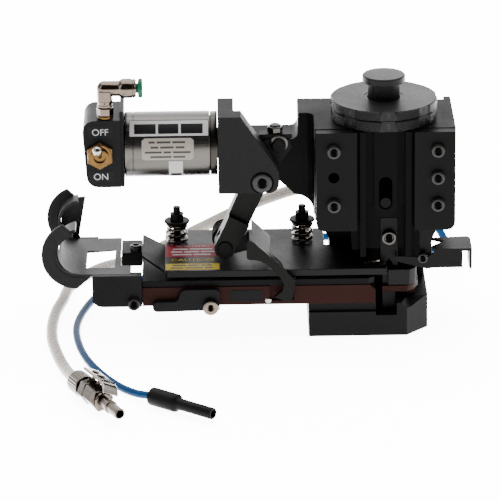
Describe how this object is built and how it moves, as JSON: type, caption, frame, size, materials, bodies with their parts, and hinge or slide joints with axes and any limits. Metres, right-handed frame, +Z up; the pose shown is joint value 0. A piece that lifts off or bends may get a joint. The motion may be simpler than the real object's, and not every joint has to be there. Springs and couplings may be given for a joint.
{
  "type": "terminal crimping applicator",
  "caption": "Pneumatic-feed terminal applicator for a bench crimping press: a setting-dial ram in a cast C-frame, with a strip feed driven by a small air cylinder.",
  "frame": {"origin": "on the ram's axis, on the underside of the base plate", "axes": "+Z up along the ram's stroke towards the press; +X along the strip track towards the scrap side; +Y towards the back"},
  "size_m": [0.2259, 0.2724, 0.1411],
  "materials": {
    "base_steel": "blackened, worn edges",
    "cast_grey": "satin dark grey paint on a casting",
    "black_oxide": "black oxide, oiled",
    "tool_steel": "ground, lightly blackened",
    "spring_steel": "dark oiled wire",
    "bright_steel": "bright, slightly dulled",
    "chrome": "polished",
    "stainless_tube": "turned, polished",
    "brass": "dull",
    "brown_anodised": "brown anodised, matt",
    "black_plate": "gloss black, scratched",
    "guide_sheet": "grey painted sheet",
    "black_plastic": "matt",
    "green_plastic": "matt",
    "clear_hose": "clear, faintly yellowed",
    "blue_hose": "semi-gloss translucent"
  },
  "bodies": {
    "frame": {"base_plate": "base_steel", "frame_column": "cast_grey", "gib_plate_left": "black_oxide", "gib_plate_right": "black_oxide", "anvil": "tool_steel", "exit_plate": "brown_anodised", "track_base": "brown_anodised", "guide_plate": "black_oxide", "drag_stud_left": "black_oxide", "drag_stud_right": "black_oxide", "drag_nut_left": "black_oxide", "drag_nut_right": "black_oxide", "drag_spring_left": "spring_steel", "drag_spring_right": "spring_steel", "release_screw": "bright_steel", "strip_guide": "guide_sheet", "guide_flange_front": "black_plastic", "guide_flange_rear": "black_plastic", "guide_block": "black_plastic", "strip_brake": "black_plastic", "cylinder_bracket": "cast_grey", "pivot_screw": "black_oxide", "cylinder_tube": "stainless_tube", "nose_cap": "stainless_tube", "valve_body": "black_plastic", "toggle_nut": "brass", "elbow_base": "brass", "chute_guard": "guide_sheet", "rear_port_block": "black_oxide", "air_hose": "clear_hose", "signal_hose": "blue_hose", "coupling_body": "bright_steel", "reducer": "black_plastic", "gib_screw_1": "black_oxide", "gib_screw_2": "black_oxide", "gib_screw_3": "black_oxide", "gib_screw_4": "black_oxide", "gib_screw_5": "black_oxide"},
    "ram": {"ram": "black_oxide", "ram_post": "black_oxide", "crimp_punch": "tool_steel", "die_screw": "bright_steel", "plunger_spring": "spring_steel"},
    "dial_upper": {"dial_upper": "black_oxide"},
    "dial_lower": {"dial_lower": "black_oxide"},
    "plunger": {"hold_down_plunger": "bright_steel"},
    "drag": {"drag_plate": "black_plate", "lead_in_flap": "black_oxide"},
    "release": {"release_lever": "black_oxide"},
    "lever": {"feed_lever": "black_oxide", "pawl_pin": "black_oxide", "pawl_spring": "spring_steel"},
    "pawl": {"feed_pawl": "tool_steel"},
    "rod": {"rod_end": "black_oxide", "rod_pin": "black_oxide", "piston_rod": "bright_steel"},
    "toggle": {"toggle_lever": "chrome"},
    "elbow": {"elbow_body": "chrome"},
    "collet": {"elbow_collet": "green_plastic"},
    "latch": {"coupling_latch": "chrome"}
  },
  "joints": [
    {"name": "ram_slide", "type": "slide", "parent": "frame", "child": "ram", "axis": [0, 0, 1], "range_m": [0, 0.03]},
    {"name": "dial_upper_turn", "type": "hinge", "parent": "ram", "child": "dial_upper", "pos_m": [0, 0, 0.1212], "axis": [0, 0, 1], "continuous": true},
    {"name": "dial_lower_turn", "type": "hinge", "parent": "ram", "child": "dial_lower", "pos_m": [0, 0, 0.1155], "axis": [0, 0, 1], "continuous": true},
    {"name": "plunger_slide", "type": "slide", "parent": "ram", "child": "plunger", "axis": [0, 0, 1], "range_m": [0, 0.011], "stiffness_N_per_m": 300, "springref_m": -0.006, "deforming": ["plunger_spring"]},
    {"name": "feed_swing", "type": "hinge", "parent": "frame", "child": "lever", "pos_m": [-0.0644, -0.0075, 0.0847], "axis": [0, 1, 0], "range_deg": [0, 12]},
    {"name": "rod_slide", "type": "slide", "parent": "frame", "child": "rod", "axis": [1, 0, 0], "range_m": [0, 0.0053]},
    {"name": "pawl_lift", "type": "hinge", "parent": "lever", "child": "pawl", "pos_m": [-0.0843, -0.0092, 0.0457], "axis": [0, -1, 0], "range_deg": [0, 6], "stiffness_Nm_per_rad": 0.2, "springref_deg": -20.05},
    {"name": "release_turn", "type": "hinge", "parent": "frame", "child": "release", "pos_m": [-0.0922, -0.03, 0.0194], "axis": [0, 1, 0], "range_deg": [0, 40]},
    {"name": "drag_lift", "type": "slide", "parent": "frame", "child": "drag", "axis": [0, 0, 1], "range_m": [0, 0.00082], "stiffness_N_per_m": 2000, "springref_m": -0.003, "deforming": ["drag_spring_left", "drag_spring_right"]},
    {"name": "toggle_turn", "type": "hinge", "parent": "frame", "child": "toggle", "pos_m": [-0.1486, -0.0255, 0.1014], "axis": [1, 0, 0], "range_deg": [0, 50]},
    {"name": "elbow_turn", "type": "hinge", "parent": "frame", "child": "elbow", "pos_m": [-0.1455, -0.019, 0.13], "axis": [0, 0, 1], "continuous": true},
    {"name": "collet_push", "type": "slide", "parent": "elbow", "child": "collet", "axis": [-1, 0, 0], "range_m": [0, 0.0007], "stiffness_N_per_m": 500, "springref_m": -0.0006},
    {"name": "latch_press", "type": "slide", "parent": "frame", "child": "latch", "axis": [-0.3658, -0.1802, -0.9131], "range_m": [0, 0.0012], "stiffness_N_per_m": 500, "springref_m": -0.001}
  ],
  "couplings": [
    {"joint": "rod_slide", "follows": "feed_swing", "m_per_rad": 0.0248},
    {"joint": "release_turn", "follows": "drag_lift", "rad_per_m": 850}
  ]
}
